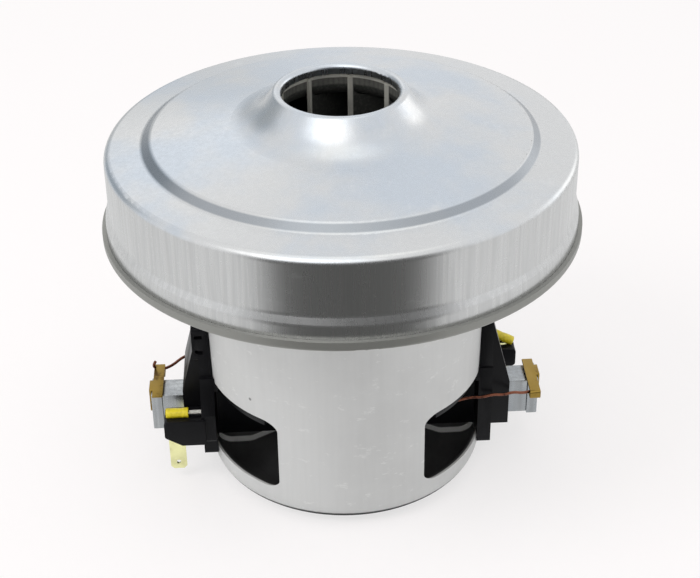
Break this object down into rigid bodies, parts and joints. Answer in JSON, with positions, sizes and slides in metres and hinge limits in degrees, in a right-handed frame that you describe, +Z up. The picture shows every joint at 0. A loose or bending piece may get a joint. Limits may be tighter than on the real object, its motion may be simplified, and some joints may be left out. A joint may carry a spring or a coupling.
{
  "type": "vacuum cleaner motor",
  "caption": "Vacuum cleaner motor and fan unit with a drawn metal can, a wide fan cover with a flared inlet, and spring-loaded brush gear on both sides.",
  "frame": {"origin": "centre of the can's standing ring, on the face that the motor rests on", "axes": "+Z up the rotor axis towards the air inlet, +X towards the brush holder whose terminal is at the rear, -Y the front"},
  "size_m": [0.135, 0.135, 0.1183],
  "materials": {
    "can_sheet": "zinc-plated drawn sheet, dull",
    "cover_sheet": "zinc-plated drawn sheet, satin",
    "bracket_steel": "pressed and plated",
    "diffuser_plastic": "moulded glass-filled plastic",
    "screw_steel": "plated",
    "lamination": "stacked and varnished laminations",
    "fibre": "pressed fibre",
    "enamelled_copper": "varnished enamelled copper wire",
    "spring_steel": "bare spring steel",
    "bearing_steel": "ground bearing steel",
    "shaft_steel": "ground steel",
    "copper": "bare copper",
    "hub_resin": "moulded resin",
    "impeller_aluminium": "mill-finish aluminium sheet",
    "holder_plastic": "black moulded plastic",
    "box_steel": "zinc-plated folded sheet",
    "strap_brass": "tarnished brass strip",
    "spade_brass": "bright brass strip",
    "yellow_sleeve": "yellow insulating sleeve",
    "tinned_wire": "tinned copper",
    "carbon": "pressed carbon"
  },
  "bodies": {
    "frame": {"motor_can": "can_sheet", "fan_cover": "cover_sheet", "bearing_bracket": "bracket_steel", "diffuser": "diffuser_plastic", "clamp_screws": "screw_steel", "stator_core": "lamination", "stator_insulators": "fibre", "field_coil_front": "enamelled_copper", "field_coil_rear": "enamelled_copper", "bearing_wave_washer": "spring_steel", "lower_bearing_outer_race": "bearing_steel", "lower_bearing_shields": "bearing_steel", "upper_bearing_outer_race": "bearing_steel", "upper_bearing_shields": "bearing_steel", "brush_holder_right": "holder_plastic", "brush_box_right": "box_steel", "brush_cap_right": "box_steel", "brush_spring_right": "spring_steel", "brush_shunt_right": "copper", "brush_strap_right": "strap_brass", "spade_terminal_right": "spade_brass", "lead_sleeve_right": "yellow_sleeve", "lead_crimp_right": "tinned_wire", "field_lead_right": "copper", "brush_holder_left": "holder_plastic", "brush_box_left": "box_steel", "brush_cap_left": "box_steel", "brush_spring_left": "spring_steel", "brush_shunt_left": "copper", "brush_strap_left": "strap_brass", "spade_terminal_left": "spade_brass", "lead_sleeve_left": "yellow_sleeve", "lead_crimp_left": "tinned_wire", "field_lead_left": "copper"},
    "rotor": {"shaft": "shaft_steel", "armature_core": "lamination", "armature_insulators": "fibre", "armature_winding": "enamelled_copper", "commutator_bars": "copper", "commutator_hub": "hub_resin", "impeller_back_plate": "impeller_aluminium", "impeller_shroud": "impeller_aluminium", "impeller_blades": "impeller_aluminium", "impeller_spacer": "shaft_steel", "impeller_washers": "shaft_steel", "impeller_nut": "shaft_steel", "lower_bearing_inner_race": "bearing_steel", "upper_bearing_inner_race": "bearing_steel"},
    "brush_right": {"carbon_brush_right": "carbon"},
    "brush_left": {"carbon_brush_left": "carbon"},
    "lower_cage": {"lower_bearing_balls": "bearing_steel", "lower_bearing_cage": "bearing_steel"},
    "upper_cage": {"upper_bearing_balls": "bearing_steel", "upper_bearing_cage": "bearing_steel"}
  },
  "joints": [
    {"name": "rotor_spin", "type": "hinge", "parent": "frame", "child": "rotor", "pos_m": [0, 0, 0.0435], "axis": [0, 0, 1], "continuous": true},
    {"name": "brush_slide_right", "type": "slide", "parent": "frame", "child": "brush_right", "axis": [1, 0, 0], "range_m": [0, 0.006], "stiffness_N_per_m": 120, "springref_m": -0.03, "deforming": ["brush_spring_right", "brush_shunt_right"]},
    {"name": "brush_slide_left", "type": "slide", "parent": "frame", "child": "brush_left", "axis": [-1, 0, 0], "range_m": [0, 0.006], "stiffness_N_per_m": 120, "springref_m": -0.03, "deforming": ["brush_spring_left", "brush_shunt_left"]},
    {"name": "lower_cage_spin", "type": "hinge", "parent": "frame", "child": "lower_cage", "pos_m": [0, 0, 0.0054], "axis": [0, 0, 1], "continuous": true},
    {"name": "upper_cage_spin", "type": "hinge", "parent": "frame", "child": "upper_cage", "pos_m": [0, 0, 0.077], "axis": [0, 0, 1], "continuous": true}
  ],
  "couplings": [
    {"joint": "lower_cage_spin", "follows": "rotor_spin", "ratio": 0.36538},
    {"joint": "upper_cage_spin", "follows": "rotor_spin", "ratio": 0.368}
  ]
}
